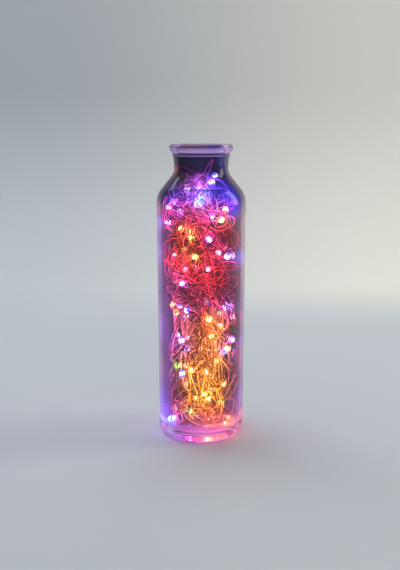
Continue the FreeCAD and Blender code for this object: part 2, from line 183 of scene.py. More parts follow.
def cells(tree, scale, feature="F1"):
    made = tree.nodes.new("ShaderNodeTexVoronoi")
    made.feature = feature
    made.inputs["Scale"].default_value = scale
    link(tree, own_place(tree), made.inputs["Vector"])
    return made.outputs


def painted(tree, name):
    """What the mesh's own attribute holds."""
    made = tree.nodes.new("ShaderNodeAttribute")
    made.attribute_name = name
    return made.outputs


def bump(tree, height, shader, strength, distance):
    made = tree.nodes.new("ShaderNodeBump")
    made.inputs["Strength"].default_value = strength
    made.inputs["Distance"].default_value = distance
    link(tree, height, made.inputs["Height"])
    link(tree, made.outputs[0], shader.inputs["Normal"])


def maths(tree, operation, first, *others):
    """Values taken together one after the other, such as their sum or product."""
    for other in others:
        made = tree.nodes.new("ShaderNodeMath")
        made.operation = operation
        feed(tree, first, made.inputs[0])
        feed(tree, other, made.inputs[1])
        first = made.outputs[0]
    return first


def spread(tree, value, low, high, to_low=0.0, to_high=1.0):
    """A value's smooth way from one number to another, as it goes from low to high."""
    made = tree.nodes.new("ShaderNodeMapRange")
    made.interpolation_type = "SMOOTHSTEP"
    for name, number in (("From Min", low), ("From Max", high), ("To Min", to_low), ("To Max", to_high)):
        made.inputs[name].default_value = number
    link(tree, value, made.inputs["Value"])
    return made.outputs[0]


def mixed(tree, fac, a, b):
    made = tree.nodes.new("ShaderNodeMix")
    made.data_type = "RGBA"
    for socket, value in ((made.inputs[0], fac), (made.inputs[6], a), (made.inputs[7], b)):
        feed(tree, value, socket)
    return made.outputs[2]


def scaled(tree, color, amount):
    made = tree.nodes.new("ShaderNodeVectorMath")
    made.operation = "SCALE"
    link(tree, color, made.inputs[0])
    link(tree, amount, made.inputs["Scale"])
    return made.outputs[0]


def finish_of(name, color, other, scale, roughness, metallic=0.0, stretch=None):
    """A plain finish with mottled colour, uneven gloss and a fine relief."""
    made, tree = material(name)
    shader, _ = principled(tree, Metallic=metallic)
    field = noise(tree, scale, 5, 0.6, stretch)
    link(tree, ramp(tree, field, [(0.32, color), (0.68, other)]), shader.inputs["Base Color"])
    gloss = spread(tree, field, 0.3, 0.7, roughness - 0.08, roughness + 0.1)
    link(tree, gloss, shader.inputs["Roughness"])
    bump(tree, field, shader, 0.25, 0.05 * mm)
    return made


def cork_finish(name, dark, light):
    """Pressed cork: granules of uneven brown with dark seams and pits."""
    granules = 620
    made, tree = material(name)
    shader, _ = principled(tree, Roughness=0.8)
    tone = tree.nodes.new("ShaderNodeSeparateColor")
    link(tree, cells(tree, granules)["Color"], tone.inputs[0])
    color = ramp(tree, tone.outputs[0], [(0.0, dark), (1.0, light)])
    seams = spread(tree, cells(tree, granules, "DISTANCE_TO_EDGE")["Distance"], 0.0, 0.06)
    pits = spread(tree, noise(tree, 1100, 3), 0.34, 0.40)
    solid = maths(tree, "MULTIPLY", seams, pits)
    link(tree, mixed(tree, solid, tuple(0.6 * c for c in dark), color), shader.inputs["Base Color"])
    bump(tree, solid, shader, 0.7, 0.25 * mm)
    return made


def lip_mask(tree, z):
    return spread(tree, z, 247.0 * mm, 247.6 * mm)


def glass_tint(tree, waves):
    """The glass's colour by its place, with painted light and shade in it, darker toward its edges as thick glass is.
    """
    x, y, z = axes(tree)
    rightward = spread(tree, x, -34 * mm, 34 * mm)
    # Painted shade: a dark band round the rim
    rim_band_shade = maths(tree, "MULTIPLY", spread(tree, z, 250.8 * mm, 251.4 * mm), spread(tree, z, 252.6 * mm, 252.0 * mm))
    grazing = tree.nodes.new("ShaderNodeLayerWeight")
    grazing.inputs["Blend"].default_value = 0.5
    # Painted shade: a dark crimson sheet in the back wall behind the tangle, which darkens the gaps between the wires
    middle_of_back = maths(
        tree, "MULTIPLY",
        spread(tree, y, 4 * mm, 22 * mm),
        spread(tree, z, 22 * mm, 40 * mm), spread(tree, z, 212 * mm, 190 * mm),
        spread(tree, x, -31 * mm, -20 * mm), spread(tree, x, 31 * mm, 20 * mm),
    )
    # Painted light and shade in the tint: the back half lighter mauve at the left and darker brown at the right, the
    # neck and shoulder darkened, the lip lighter, the foot lit pink, and painted shade along the bottom edge, in a
    # band round the rim and behind the tangle
    places = (
        (spread(tree, y, -10 * mm, 14 * mm), mixed(tree, rightward, (0.44, 0.20, 0.48), (0.32, 0.16, 0.22))),
        (spread(tree, z, *neck_fade), (0.13, 0.10, 0.17)),
        (lip_mask(tree, z), (0.56, 0.44, 0.78)),
        (spread(tree, z, 20 * mm, 8 * mm), (0.60, 0.24, 0.50)),
        (spread(tree, z, 3.0 * mm, 1.2 * mm), (0.20, 0.03, 0.12)),
        (rim_band_shade, (0.16, 0.10, 0.30)),
        (
            spread(tree, grazing.outputs["Facing"], 0.55, 0.95, 0.0, 0.75),
            mixed(tree, rightward, (0.28, 0.10, 0.36), (0.22, 0.10, 0.20)),
        ),
        (middle_of_back, (0.36, 0.11, 0.15)),
    )
    tint = ramp(tree, waves, [(0.25, (0.42, 0.31, 0.45)), (0.75, (0.52, 0.40, 0.50))])
    for mask, color in places:
        tint = mixed(tree, mask, tint, color)
    return tint


def glass_light(tree, waves):
    """The light in the glass: its foot, its sides and its lip, and what paint() puts on it."""
    x, y, z = axes(tree)
    rightward = spread(tree, x, -36 * mm, 36 * mm)
    foot = spread(tree, z, 34 * mm, 4 * mm)
    sides_color = mixed(tree, rightward, (0.40, 0.12, 0.66), (0.38, 0.10, 0.24))
    foot_color = mixed(tree, rightward, (0.46, 0.16, 0.90), (1.00, 0.24, 0.36))
    lip_color = mixed(tree, spread(tree, noise(tree, 70, 2), 0.42, 0.58), (0.42, 0.30, 0.95), (1.0, 0.46, 0.62))
    color = mixed(tree, foot, sides_color, foot_color)
    color = mixed(tree, spread(tree, z, 244.0 * mm, 244.4 * mm), color, lip_color)

    rings = spread(tree, noise(tree, 60, 3, 0.5, (0.25, 0.25, 2.2)), 0.42, 0.60, 0.04, 0.42)
    left = spread(tree, x, -20 * mm, -33 * mm, 0.0, 0.11)
    right = spread(tree, x, 25 * mm, 35 * mm, 0.0, 0.06)
    sides = maths(tree, "MULTIPLY", maths(tree, "ADD", left, right), spread(tree, z, 206 * mm, 188 * mm))
    line_under_lip = maths(
        tree, "MULTIPLY",
        spread(tree, z, 244.2 * mm, 244.8 * mm), spread(tree, z, 245.6 * mm, 245.0 * mm),
        spread(tree, y, -12 * mm, -18 * mm), 0.5,
    )
    amount = maths(
        tree, "ADD",
        sides, maths(tree, "MULTIPLY", foot, rings),
        maths(tree, "MULTIPLY", lip_mask(tree, z), 0.08), line_under_lip,
    )
    amount = maths(tree, "MULTIPLY", amount, spread(tree, waves, 0.3, 0.7, 0.5, 1.4))
    both = tree.nodes.new("ShaderNodeVectorMath")
    both.operation = "ADD"
    link(tree, scaled(tree, color, amount), both.inputs[0])
    link(tree, painted(tree, "shine")["Color"], both.inputs[1])
    return both.outputs[0]


def glass_finish():
    """Blown glass with a plum tint, partly its own colour and partly painted shade and the drops' light. Lamp light
    passes it, so that what it holds is lit.
    """
    made, tree = material("bottle_glass")
    shader, out = principled(
        tree, Roughness=0.0, IOR=1.34, Transmission_Weight=1.0, Specular_IOR_Level=0.24, Emission_Strength=1.0,
    )
    waves = noise(tree, 26, 2, 0.4, (1.0, 1.0, 0.16))
    link(tree, glass_tint(tree, waves), shader.inputs["Base Color"])
    link(tree, glass_light(tree, waves), shader.inputs["Emission Color"])
    bump(tree, waves, shader, 0.12, 0.6 * mm)
    clear = tree.nodes.new("ShaderNodeBsdfTransparent")
    clear.inputs["Color"].default_value = (0.80, 0.70, 0.88, 1)
    rays = tree.nodes.new("ShaderNodeLightPath")
    mix = tree.nodes.new("ShaderNodeMixShader")
    link(tree, rays.outputs["Is Shadow Ray"], mix.inputs[0])
    link(tree, shader.outputs[0], mix.inputs[1])
    link(tree, clear.outputs[0], mix.inputs[2])
    link(tree, mix.outputs[0], out.inputs["Surface"])
    return made


def wire_finish():
    """Lacquered copper, in the colours and with the light that dress() paints on it."""
    made, tree = material("lacquered_copper")
    shader, _ = principled(tree, Metallic=0.25, Roughness=0.35)
    flecks = noise(tree, 420, 2)
    color = scaled(tree, painted(tree, "tone")["Color"], spread(tree, flecks, 0.35, 0.65, 0.10, 0.18))
    link(tree, color, shader.inputs["Base Color"])
    link(tree, painted(tree, "shine")["Color"], shader.inputs["Emission Color"])
    link(tree, spread(tree, flecks, 0.35, 0.65, 0.75, 1.1), shader.inputs["Emission Strength"])
    bump(tree, noise(tree, 900, 2), shader, 0.25, 0.05 * mm)
    return made


def drop_finish(name, halo, core, power):
    """Clear resin with the light in its middle: white-hot there, coloured towards the ends."""
    made, tree = material(name)
    shader, _ = principled(tree, Base_Color=halo, Roughness=0.12, Coat_Weight=0.6)
    uneven = spread(tree, noise(tree, 700, 2), 0.2, 0.8, 0.85, 1.1)
    level = maths(tree, "MULTIPLY", painted(tree, "warmth")["Fac"], uneven)
    color = ramp(tree, level, [(0.0, halo), (0.55, halo), (0.88, core), (1.0, core)])
    link(tree, color, shader.inputs["Emission Color"])
    _, _, z = axes(tree)
    strength = spread(tree, level, 0.3, 0.95, power * 0.30, power * 0.85)
    strength = maths(tree, "MULTIPLY", strength, spread(tree, z, *neck_fade, 1.0, 1.9))
    link(tree, strength, shader.inputs["Emission Strength"])
    return made


# Bottle glass

def arc(centre, radius, start, end, steps):
    return [
        (centre[0] + radius * math.cos(start + (end - start) * i / steps),
         centre[1] + radius * math.sin(start + (end - start) * i / steps))
        for i in range(steps + 1)
    ]


def body_swell(z):
    """The slight band under the shoulder and the slack waist below it, as blown glass has."""
    band = math.exp(-((z / mm - 200) / 9) ** 2) * 0.12
    slack = math.exp(-((z / mm - 188) / 8) ** 2) * 0.35
    low = math.exp(-((z / mm - 70) / 40) ** 2) * 0.25
    return (band - slack - low) * mm


def smooth_mesh(work, mesh):
    """Writes a bmesh's faces to a mesh, turned outward and smooth."""
    bmesh.ops.recalc_face_normals(work, faces=work.faces)
    for face in work.faces:
        face.smooth = True
    work.to_mesh(mesh)
    work.free()


def lathe(name, profile, segments):
    mesh = bpy.data.meshes.new(name)
    made = placed(name, mesh)
    work = bmesh.new()
    rings = []
    for r, z in profile:
        if r < 1e-7:
            rings.append([work.verts.new((0, 0, z))])
            continue
        angles = [2 * math.pi * i / segments for i in range(segments)]
        rings.append([work.verts.new((r * math.cos(a), r * math.sin(a), z)) for a in angles])
    for a, b in zip(rings, rings[1:]):
        for i in range(segments):
            j = (i + 1) % segments
            corners = [a[i % len(a)], a[j % len(a)], b[j % len(b)], b[i % len(b)]]
            unique = list(dict.fromkeys(corners))
            if len(unique) > 2:
                work.faces.new(unique)
    smooth_mesh(work, mesh)
    return made


def bottle_profile():
    """The glass's outline from the middle of the base, up the outside and down the inside."""
    shoulder_centre = (body_radius - shoulder_arc, body_height)
    neck_centre = (waist_radius + neck_arc, waist_height)
    dx = neck_centre[0] - shoulder_centre[0]
    dz = neck_centre[1] - shoulder_centre[1]
    normal = math.atan2(dz, dx) - math.acos((shoulder_arc + neck_arc) / math.hypot(dx, dz))
    heel = 6.6 * mm
    inner_heel = 6.0 * mm
    bead = 3.3 * mm
    bead_centre = (27.0 * mm - bead, bottle_height - bead)
    flare_arc = 46.0 * mm
    flare_end = math.pi - math.asin((247.4 * mm - waist_height) / flare_arc)
    inner_round = 2.3 * mm
    round_centre = (20.5 * mm + inner_round, bottle_height - inner_round)
    step = 2.0 * mm

    # Under the base and up the outside
    outline = [
        (0, 2.0 * mm), (12 * mm, 2.0 * mm), (20.5 * mm, 1.9 * mm),
        (22.4 * mm, 1.0 * mm), (24.2 * mm, 0.15 * mm), (26.0 * mm, 0),
    ]
    outline += arc((body_radius - heel, heel), heel, -math.pi / 2, 0, 12)
    outline += [(body_radius + body_swell(z), z) for z in (k * step for k in range(4, 102))]
    outline += arc(shoulder_centre, shoulder_arc, 0, normal, 16)
    outline += arc(neck_centre, neck_arc, math.pi + normal, math.pi, 12)
    outline += arc((waist_radius + flare_arc, waist_height), flare_arc, math.pi, flare_end, 8)[1:]

    # Over the lip
    outline += arc(bead_centre, bead, math.radians(-47), math.pi / 2, 12)
    outline += arc(round_centre, inner_round, math.pi / 2, math.pi, 8)
    outline += [(20.4 * mm, 248.0 * mm), (20.3 * mm, 244.6 * mm), (20.1 * mm, 242.6 * mm)]

    # Down the inside to the floor
    outline.append((waist_radius - wall, 240.6 * mm))
    outline += arc(neck_centre, neck_arc + wall, math.pi, math.pi + normal, 14)
    outline += arc(shoulder_centre, shoulder_arc - wall, normal, 0, 14)
    outline += [(inner_radius + body_swell(z) * 0.6, z) for z in (k * step for k in range(101, 8, -1))]
    outline += arc((inner_radius - inner_heel, base_thickness + inner_heel), inner_heel, 0, -math.pi / 2, 9)
    outline += [
        (18 * mm, base_thickness + 0.4 * mm), (8 * mm, base_thickness + 0.9 * mm), (0, base_thickness + 1.0 * mm),
    ]
    return outline


bottle = lathe("bottle_glass", bottle_profile(), 120)
bottle.data.materials.append(glass_finish())
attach(bottle, "bottle")
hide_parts("glass_bottle")


# Light drops: their middles and lines come from the frame's own drops

def parts_of(shown):
    """The loose parts of a CAD node, each as its middle and the direction of its length."""
    mesh = shown.data
    owner = list(range(len(mesh.vertices)))

    def root(i):
        while owner[i] != i:
            owner[i] = owner[owner[i]]
            i = owner[i]
        return i

    keys = {}
    for v in mesh.vertices:  # vertices that share a place, to 5 micrometres, are one
        same = tuple(round(c * 2e5) for c in v.co)
        if same in keys:
            owner[root(v.index)] = root(keys[same])
        else:
            keys[same] = v.index
    for edge in mesh.edges:
        owner[root(edge.vertices[0])] = root(edge.vertices[1])
    groups = {}
    for v in mesh.vertices:
        groups.setdefault(root(v.index), []).append(shown.matrix_world @ v.co)
    found = []
    for points in groups.values():
        middle = sum(points, Vector()) / len(points)
        far = max(points, key=lambda p: (p - middle).length)
        end = max(points, key=lambda p: (p - far).length)
        found.append(((far + end) / 2, (far - end).normalized()))
    return sorted(found, key=lambda row: tuple(row[0]))


def clear_radius(z):
    """How far from the axis the wire may be at a height."""
    inner_heel = 6 * mm
    heel_room = 3.0 * mm
    inner_shoulder = 17 * mm
    shoulder_axis = 18 * mm
    shoulder_rise = inner_shoulder * 0.86
    neck_start, neck_taper, taper_height = 26.6, 6.7, 15 * mm
    if z < base_thickness + inner_heel:
        return inner_radius - heel_room
    if z < body_height:
        return inner_radius
    if z < body_height + shoulder_rise:
        return shoulder_axis + math.sqrt(inner_shoulder ** 2 - (z - body_height) ** 2)
    share = min(1.0, (z - body_height - shoulder_rise) / taper_height)
    return (neck_start - neck_taper * share) * mm


def fitted_size(middle, line, size):
    """A drop's size, made smaller where the base or the glass is near it."""
    reach_down = abs(line.z) * drop_half + math.sqrt(max(0.0, 1 - line.z ** 2)) * drop_radius * 1.17
    reach_out = drop_half * 1.05
    return min(
        size,
        (middle.z - base_thickness - 0.1 * mm) / reach_down,
        max(0.7, (clear_radius(middle.z) - math.hypot(middle.x, middle.y)) / reach_out),
    )


def drop_object(colour, places):
    """One object for the drops of a colour: uneven lens shapes of resin along the wire."""
    mesh = bpy.data.meshes.new(f"{colour}_resin_drops")
    made = placed(mesh.name, mesh)
    work = bmesh.new()
    warmth = work.verts.layers.float.new("warmth")
    rings, sides = 12, 14
    for middle, line in places:
        side = line.orthogonal().normalized()
        up = line.cross(side)
        lean = rng.uniform(0, 2 * math.pi)
        size = fitted_size(middle, line, rng.uniform(0.85, 1.12) * drop_sizes.get(colour, 1.0))
        columns = []
        for i in range(rings + 1):
            t = -1 + 2 * i / rings
            swell = math.sqrt(max(0.0, 1 - t * t)) ** 0.9
            radius = (drop_radius * size * swell + 0.36 * mm * abs(t) ** 6) * (1 + 0.06 * math.sin(3 * t + lean))
            here = middle + line * (t * drop_half * size)
            ring = []
            for k in range(sides):
                a = 2 * math.pi * k / sides
                sag = 1 + 0.10 * math.cos(a - lean)
                v = work.verts.new(here + (side * math.cos(a) + up * math.sin(a)) * radius * sag)
                v[warmth] = max(0.0, 1 - abs(t) ** 1.6)
                ring.append(v)
            columns.append(ring)
        for a, b in zip(columns, columns[1:]):
            for k in range(sides):
                work.faces.new((a[k], a[(k + 1) % sides], b[(k + 1) % sides], b[k]))
        work.faces.new(columns[0][::-1])
        work.faces.new(columns[-1])
    smooth_mesh(work, mesh)
    halo, core, power = drop_lights[colour]
    made.data.materials.append(drop_finish(f"{colour}_resin", halo, core, power))
    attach(made, "bottle")
    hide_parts(f"{colour}_light_drops")
    return made


drops = []
for colour in drop_lights:
    places = parts_of(nodes[f"{colour}_light_drops"])
    drop_object(colour, places)
    drops += [(middle, line, colour) for middle, line in places]


# Wire: one long strand from the holder's nose through every drop

def pulled_in(x, y, reach):
    """A place moved straight toward the bottle's axis until it is within reach of it."""
    away = math.hypot(x, y)
    if away > reach:
        return x * reach / away, y * reach / away
    return x, y


def kept_in(p, margin):
    """A point moved clear of the glass, the base and the cell holder."""
    x, y, z = p
    z = min(max(z, base_thickness + floor_gap + margin), tangle_top)
    centre, half_width = lower_across if z < tangle_middle else upper_across
    reach = clear_radius(z) - wall_gap - margin
    if abs(x - centre) > half_width:
        x = centre + math.copysign(half_width + 0.25 * (abs(x - centre) - half_width), x - centre)
    x, y = pulled_in(x, y, reach)
    back = tangle_back if z > foot_top else foot_back
    if y > back:
        y = back - 0.3 * (y - back)
    dx, dy = x - holder_x, y - holder_y
    aside = math.hypot(dx, dy)
    need = holder_radius + holder_gap
    if holder_low < z < holder_high and aside < need:
        x, y = holder_x + dx * need / aside, holder_y + dy * need / aside
    return Vector((x, y, z))


class Taken:
    """The space that the wire and the drops have taken, in a grid of cells."""

    def __init__(self, cell):
        self.cell = cell
        self.cells = {}

    def key(self, p):
        return tuple(int(math.floor(c / self.cell)) for c in p)

    def add(self, p, reach):
        self.cells.setdefault(self.key(p), []).append((p.copy(), reach))

    def room(self, p):
        """How far a point is from what is taken, less that thing's own reach."""
        i, j, k = self.key(p)
        best = self.cell
        for a in (i - 1, i, i + 1):
            for b in (j - 1, j, j + 1):
                for c in (k - 1, k, k + 1):
                    for other, reach in self.cells.get((a, b, c), ()):
                        best = min(best, (p - other).length - reach)
        return best


def spline_points(corners, per_leg):
    """Points along the smooth line that a run of control points gives."""
    line = [corners[0]]
    for a, b, c in zip(corners, corners[1:], corners[2:]):
        start, end = (a + b) / 2, (b + c) / 2
        for i in range(per_leg):
            t = i / per_leg
            line.append(start * (1 - t) ** 2 + b * (2 * t * (1 - t)) + end * t ** 2)
    line.append(corners[-1])
    return line


def eased(points):
    """A line with its corners eased twice, both its ends kept."""
    for _ in range(2):
        inner = [(a + b * 2 + c) / 4 for a, b, c in zip(points, points[1:], points[2:])]
        points = [points[0], *inner, points[-1]]
    return points


def one_loop(centre, upper, neck, last, out):
    """The points of one to one and a half turns round a centre, begun on the last point's side."""
    centre = kept_in(centre, 6 * mm)
    if upper:
        long, short = rng.uniform(9, 22) * mm, rng.uniform(7, 16) * mm
        tall = Vector((rng.gauss(0, 1), rng.gauss(0, 1), rng.gauss(0, 0.8))).normalized()
    else:
        centre = kept_in(centre + Vector((rng.uniform(-14, 14), 0, 0)) * mm, 6 * mm)
        long, short = rng.uniform(10, 26) * mm, rng.uniform(5, 14) * mm
        tall = Vector((rng.gauss(0, 0.6), rng.gauss(0, 0.5), 1)).normalized()
    if neck:
        long, short = rng.uniform(6, 12) * mm, rng.uniform(4, 8) * mm
    flat = tall.cross(Vector((rng.gauss(0, 1), rng.gauss(0, 1), rng.gauss(0, 0.6)))).normalized()

    def at(angle):
        return centre + tall * (long * math.cos(angle)) + flat * (short * math.sin(angle))

    phase = min((2 * math.pi * i / 12 for i in range(12)), key=lambda f: (at(f) - last - out * 6 * mm).length)
    turn = rng.choice((-1, 1)) * rng.uniform(0.9, 1.5) * 2 * math.pi
    steps = max(8, int(abs(turn) / (2 * math.pi) * 13))
    drift = Vector((rng.uniform(-5, 5), rng.uniform(-5, 5), rng.uniform(-6, 6))) * mm
    margin = rng.uniform(0.0, 3.5) * mm
    return [kept_in(at(phase + turn * i / steps) + drift * (i / steps), margin) for i in range(steps + 1)]


def one_way(a, b):
    """A loose way of two to five loops from one drop to the next."""
    (start, out), (end, into) = a, b
    height = (start.z + end.z) / 2
    upper = height > tangle_middle
    neck = height > body_height
    count = rng.choice((2, 3, 3) if neck else (3, 4, 5) if upper else (2, 3, 4))
    rise = 4 if neck else 16
    way = []
    for k in range(count):
        centre = start.lerp(end, (k + 1) / (count + 1))
        centre += Vector((rng.uniform(-15, 15), rng.uniform(-16, 10), rng.uniform(-rise, rise))) * mm
        way += one_loop(centre, upper, neck, way[-1] if way else start, out)
    return [start + out * drop_lead, *eased(way), end - into * drop_lead, end + into * drop_lead]


def turned(a, b, c):
    back, on = b - a, c - b
    if back.length < 1e-6 or on.length < 1e-6:
        return math.pi
    return back.angle(on)


def score(legs, before, taken):
    """How bad a way is: sharp turns, stretches through taken space, and short legs."""
    sharp = 1.3
    shortest = 2.0 * mm
    bad = 0.0
    chain = [before, *legs]
    for p, q, r in zip(chain, chain[1:], chain[2:]):
        turn = turned(p, q, r)
        if turn > sharp:
            bad += (turn - sharp) * 2
        if (q - p).length < shortest:
            bad += 1.0
    for p in spline_points(chain, coarse_legs)[coarse_legs:-coarse_legs]:
        gap = taken.room(p)
        if gap < wire_diameter:
            bad += 0.6 * (1 - gap / wire_diameter)
    return bad


taken = Taken(4 * mm)
for middle, line, _ in drops:
    for share in (-1, 0, 1):
        taken.add(middle + line * (share * drop_half), 1.6 * mm)

# Near the foot first, then up, with some steps back, as a string is fed into a bottle.
order = sorted(drops, key=lambda row: row[0].z + rng.uniform(-9, 9) * mm)
last_drop = max(drops, key=lambda row: row[0].z)
order.remove(last_drop)
order.append(last_drop)

exit_point = Vector((holder_x, holder_y, wire_exit))
floor_point = Vector((-6, 19, 13.5)) * mm
corners = [
    exit_point,
    exit_point - Vector((0, 0, 5 * mm)),
    exit_point + Vector((-1, 1.5, -14)) * mm,
    exit_point + Vector((-3, 2.0, -24)) * mm,
    floor_point,
]
here = (floor_point, Vector((-1, -0.4, -0.1)).normalized())
for middle, line, _ in order:
    line = line if line.dot(middle - here[0]) > 0 else -line
    there = (middle, line)
    ways = [one_way(here, there) for _ in range(ways_tried)]
    best = min(ways, key=lambda legs: score(legs, corners[-1], taken))
    for p in spline_points([corners[-1], *best], coarse_legs)[:-coarse_legs]:
        taken.add(p, 0.0)
    corners += best
    here = there

walk = spline_points(corners, fine_legs)
path = [walk[0]]
for p in walk[1:]:
    if (p - path[-1]).length > least_step:
        path.append(p)

drop_middles = np.array([tuple(middle) for middle, _, _ in drops])
drop_glow = np.array([drop_lights[colour][0] for _, _, colour in drops])
drop_power = np.array([drop_lights[colour][2] for _, _, colour in drops]) ** 0.5 / 2.4


def shine_at(points, reach, fall):
    """The drops' light on each point: a sum of their colours, weaker with distance."""
    points = np.asarray(points)
    total = np.zeros((len(points), 3))
    for middle, glow, power in zip(drop_middles, drop_glow, drop_power):
        far = np.linalg.norm(points - middle, axis=1)
        total += glow * (power / (1 + (far / reach) ** 2) ** fall)[:, None]
    return total


# The wire's colour by height in millimetres, partly its own and partly the drops' light painted on it: gold low down,
# crimson above, violet in the neck
wire_tones = (
    (0, (0.85, 0.10, 0.22)), (20, (0.94, 0.18, 0.06)), (45, (1.00, 0.42, 0.035)),
    (95, (0.98, 0.30, 0.05)), (120, (0.92, 0.07, 0.10)), (140, (0.94, 0.05, 0.04)),
    (185, (0.95, 0.05, 0.03)), (203, (0.72, 0.04, 0.22)), (216, (0.24, 0.10, 1.00)),
    (226, (0.46, 0.08, 0.82)), (240, (0.85, 0.10, 0.50)),
)
wire_side_tone = np.array((0.85, 0.08, 0.30))


def tone_at(points):
    """The wire's colour by its place, partly the drops' light painted on it: that of its height, pinker at the sides
    of the body.
    """
    heights = np.array([height for height, _ in wire_tones]) * mm
    tones = np.array([tone for _, tone in wire_tones])
    color = np.stack([np.interp(points[:, 2], heights, tones[:, i]) for i in range(3)], axis=1)
    aside = np.clip((np.abs(points[:, 0] - 3 * mm) - 14 * mm) / (12 * mm), 0, 1) * (points[:, 2] < 150 * mm)
    share = aside[:, None] * 0.7
    return color * (1 - share) + wire_side_tone * share


def paint(mesh, name, colors):
    layer = mesh.attributes.new(name, "FLOAT_COLOR", "POINT")
    layer.data.foreach_set("color", np.concatenate([colors, np.ones((len(colors), 1))], axis=1).ravel())


def tube(name, path, radius, sides):
    """One unbroken tube along a path, its rings kept from twisting."""
    verts, faces = [], []
    ways = [(b - a).normalized() for a, b in zip(path, path[1:])]
    ways = [ways[0], *[(a + b).normalized() for a, b in zip(ways, ways[1:])], ways[-1]]
    side = ways[0].orthogonal().normalized()
    for p, way in zip(path, ways):
        side = (side - way * side.dot(way)).normalized()
        up = way.cross(side)
        for k in range(sides):
            a = 2 * math.pi * k / sides
            verts.append(p + (side * math.cos(a) + up * math.sin(a)) * radius)
    for i in range(len(path) - 1):
        for k in range(sides):
            j = (k + 1) % sides
            faces.append((i * sides + k, i * sides + j, (i + 1) * sides + j, (i + 1) * sides + k))
    last = (len(path) - 1) * sides
    faces += [tuple(range(sides))[::-1], tuple(range(last, last + sides))]
    mesh = bpy.data.meshes.new(name)
    mesh.from_pydata(verts, [], faces)
    mesh.polygons.foreach_set("use_smooth", [True] * len(mesh.polygons))
    return placed(name, mesh)


def strand_beside(path, amount, seed):
    """A strand that leaves the wire's side between the drops and comes back to it at each."""
    knot_step = 13
    loose = random.Random(seed)
    knots = [
        Vector((loose.gauss(0, 1), loose.gauss(0, 1), loose.gauss(0, 1)))
        for _ in range(len(path) // knot_step + 4)
    ]
    spine = np.array([tuple(p) for p in path])
    far = np.min([np.linalg.norm(spine - middle, axis=1) for middle in drop_middles], axis=0)
    beside = []
    for i, p in enumerate(path):
        k, t = divmod(i / knot_step, 1.0)
        t = t * t * (3 - 2 * t)
        away = knots[int(k)].lerp(knots[int(k) + 1], t)
        q = p + away * (amount * min(1.0, max(0.0, far[i] - 1.5 * mm) / (6 * mm)))
        q.x, q.y = pulled_in(q.x, q.y, clear_radius(q.z) - wall_gap)
        q.z = max(q.z, base_thickness + 1.6 * mm)
        beside.append(q)
    return eased(beside)


def outer_bow(places):
    """A smooth bow of wire over the outside of the tangle, both its ends tucked in."""
    corners = []
    for place in places:
        p = Vector(place) * mm
        p.x, p.y = pulled_in(p.x, p.y, clear_radius(p.z) - wall_gap - 0.5 * mm)
        corners.append(p)
    return spline_points(corners, bow_legs)


wire = tube("string_wire", path, wire_diameter / 2, wire_sides)
copper = wire_finish()


def dress(strand, path, sides, seed, bright=None):
    """The wire's finish, with the glints and the drops' light on it painted by place."""
    glint_step = 14
    loose = random.Random(seed)
    spine = np.array([tuple(p) for p in path])
    tones = tone_at(spine)
    near = shine_at(spine, 4.6 * mm, 1.7)
    lit = np.clip(near.sum(axis=1, keepdims=True) / 2.5, 0.0, 1.0)
    beads = np.array([loose.random() for _ in range(len(path) // glint_step + 3)])
    glint = np.interp(np.arange(len(path)) / glint_step, np.arange(len(beads)), beads)[:, None] ** 3.6
    if bright is not None:
        glint = bright * (0.25 + 0.75 * glint ** 0.4)
    # Painted shade: the glints fade toward the back of the tangle
    forward = np.interp(spine[:, 1], (-30 * mm, -8 * mm, 10 * mm), (1.0, 0.45, 0.10))[:, None]
    neck_gain = np.interp(spine[:, 2], neck_fade, (1.0, 2.5))[:, None]
    # The drops' painted light, tinted by the wire's colour as the wire reflects it
    least = np.array((0.60, 0.30, 0.48))
    reflected_tint = least + (1 - least) * tones / tones.max(axis=1, keepdims=True)
    # Painted highlights: glints along the wire, brighter near the drops
    painted_glints = tones * (0.008 + 28.0 * glint * forward * (0.2 + 0.8 * lit))
    drops_light = near * reflected_tint
    shine = neck_gain * painted_glints + neck_gain * drops_light * (0.20 + 17.0 * glint)
    paint(strand.data, "tone", np.repeat(tones, sides, axis=0))
    paint(strand.data, "shine", np.repeat(shine, sides, axis=0))
    strand.data.materials.append(copper)


dress(wire, path, wire_sides, 5)
for number in (1, 2, 3):
    beside = strand_beside(path, (1.1 + 0.5 * number) * mm, 40 + number)
    strand = tube(f"loose_strand_{number}", beside, strand_diameter / 2, strand_sides)
    dress(strand, beside, strand_sides, 60 + number)
    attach(strand, "bottle")

# Single loops that show on the outside of the tangle: corners in millimetres, and brightness
outer_bows = (
    ([(-22, -8, 196), (-25, -17, 203), (-18, -22, 207), (-11, -25, 206), (-1, -27, 198), (6, -18, 186)], 0.45),
    ([(10, -16, 199), (17, -22, 197), (25, -17, 187), (31, -9, 168), (24, -3, 157)], 0.33),
    (
        [(-8, -20, 134), (-1, -29, 140), (8, -30, 146), (18, -26, 146), (26, -19, 138), (28, -14, 125), (22, -8, 115)],
        0.42,
    ),
    ([(-8, -18, 146), (-3, -30, 140), (11, -29, 130), (15, -27, 121), (16, -18, 112)], 0.30),
    ([(-24, -6, 142), (-25, -18, 133), (-18, -25, 126), (-7, -30, 126), (2, -20, 128)], 0.33),
    ([(-18, -16, 90), (-12, -29, 82), (-4, -31, 74), (6, -30, 65), (15, -27, 56), (20, -12, 48)], 0.0),
    ([(-4, -18, 56), (-11, -29, 47), (-21, -24, 33), (-20, -10, 22)], 0.0),
    ([(-18, -8, 62), (-25, -18, 56), (-29, -12, 42), (-26, -16, 34), (-18, -8, 28)], 0.45),
    (
        [
            (-6, -4, 212), (-3, -5, 224), (3, -5, 231), (7, -6, 240),
            (10, -5, 243), (9, -4, 238), (5, -3, 228), (2, -3, 216),
        ],
        0.45,
    ),
    ([(-16, -4, 218), (-12, -6, 229), (-7, -8, 233), (-2, -6, 230), (3, -4, 220)], 0.27),
)
